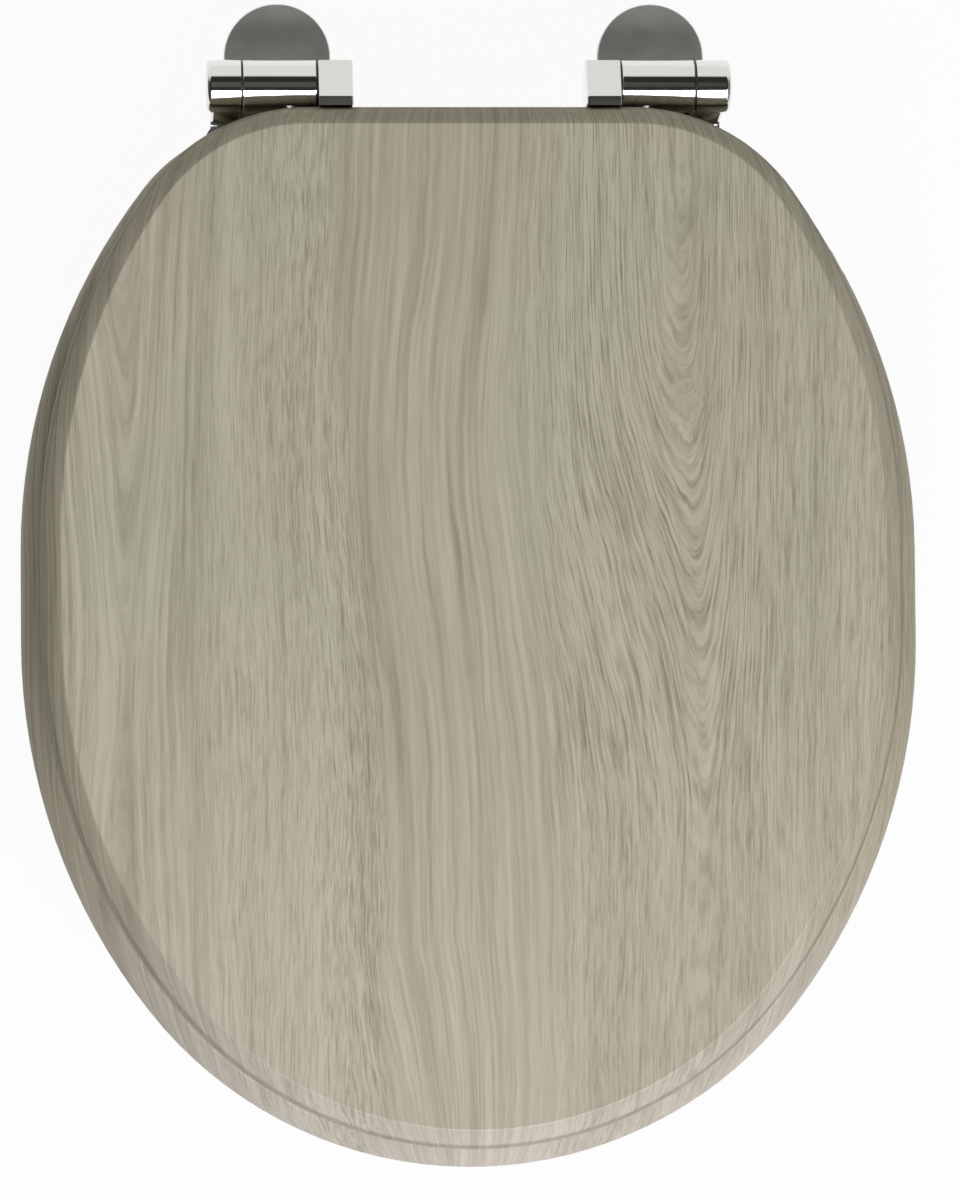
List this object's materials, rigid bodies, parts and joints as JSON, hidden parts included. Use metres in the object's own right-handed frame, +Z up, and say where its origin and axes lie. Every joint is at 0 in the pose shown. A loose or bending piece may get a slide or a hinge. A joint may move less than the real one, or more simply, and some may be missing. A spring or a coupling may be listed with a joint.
{
  "type": "toilet seat",
  "caption": "Wooden toilet seat: round-edged lid over an oval ring, on chromed barrel hinges bolted through the pan.",
  "frame": {"origin": "midway between the fixing bolts, on the plane of the pan", "axes": "+X to the right as seen from the front, +Y to the rear, +Z up from the pan"},
  "size_m": [0.368, 0.4803, 0.1225],
  "materials": {
    "oak": "grey oak grain, satin",
    "chrome": "polished",
    "steel": "plain",
    "nylon": "plain",
    "rubber": "soft, matt"
  },
  "bodies": {
    "base": {"left_gasket": "rubber", "right_gasket": "rubber", "left_hinge_foot": "chrome", "right_hinge_foot": "chrome", "left_foot_cover": "chrome", "right_foot_cover": "chrome", "left_fixing_bolt": "steel", "right_fixing_bolt": "steel", "left_hinge_pin": "steel", "right_hinge_pin": "steel"},
    "seat": {"seat_ring": "oak", "left_seat_leaf": "chrome", "right_seat_leaf": "chrome", "left_seat_bush": "nylon", "right_seat_bush": "nylon", "left_pin_cap": "chrome", "right_pin_cap": "chrome", "left_seat_leaf_screws": "steel", "right_seat_leaf_screws": "steel", "seat_buffer_front_left": "rubber", "seat_buffer_front_right": "rubber", "seat_buffer_rear_left": "rubber", "seat_buffer_rear_right": "rubber"},
    "lid": {"lid": "oak", "left_lid_leaf": "chrome", "right_lid_leaf": "chrome", "left_lid_bush": "nylon", "right_lid_bush": "nylon", "left_lid_leaf_screws": "steel", "right_lid_leaf_screws": "steel", "lid_buffer_front_left": "rubber", "lid_buffer_front_right": "rubber", "lid_buffer_rear_left": "rubber", "lid_buffer_rear_right": "rubber"}
  },
  "joints": [
    {"name": "seat_hinge", "type": "hinge", "parent": "base", "child": "seat", "pos_m": [0, -0.0165, 0.038], "axis": [-1, 0, 0], "range_deg": [0, 95]},
    {"name": "lid_hinge", "type": "hinge", "parent": "seat", "child": "lid", "pos_m": [0, -0.0165, 0.038], "axis": [-1, 0, 0], "range_deg": [0, 95]}
  ]
}
